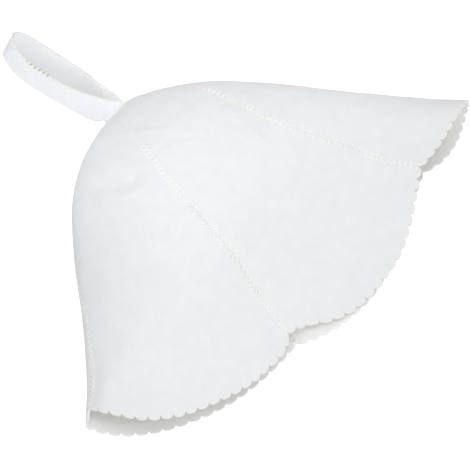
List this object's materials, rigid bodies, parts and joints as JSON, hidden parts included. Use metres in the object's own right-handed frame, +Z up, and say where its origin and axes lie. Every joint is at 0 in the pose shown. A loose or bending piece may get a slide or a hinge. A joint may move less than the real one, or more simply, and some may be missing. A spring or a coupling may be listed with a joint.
{
  "type": "sauna hat",
  "caption": "Bell-shaped white felt sauna hat of lobed gores with zigzag seams, a scalloped brim and a hanging loop, lying on its side.",
  "frame": {"origin": "on the flat underside of gore_4, where the lying hat rests, half the lying seam's length behind the crown slot", "axes": "+Z up from the surface the hat lies on, mouth towards -Y, crown and loop towards +Y, +X towards the rounded fold"},
  "size_m": [0.4246, 0.3837, 0.0743],
  "materials": {
    "felt": "matt white wool felt, soft and slightly fuzzy",
    "strap_felt": "matt white wool felt folded double, its long edge overlocked in cream thread"
  },
  "bodies": {
    "root": {"gore_1": "felt", "gore_2": "felt", "gore_3": "felt", "gore_4": "felt", "gore_5": "felt", "hanging_loop": "strap_felt"}
  },
  "joints": []
}
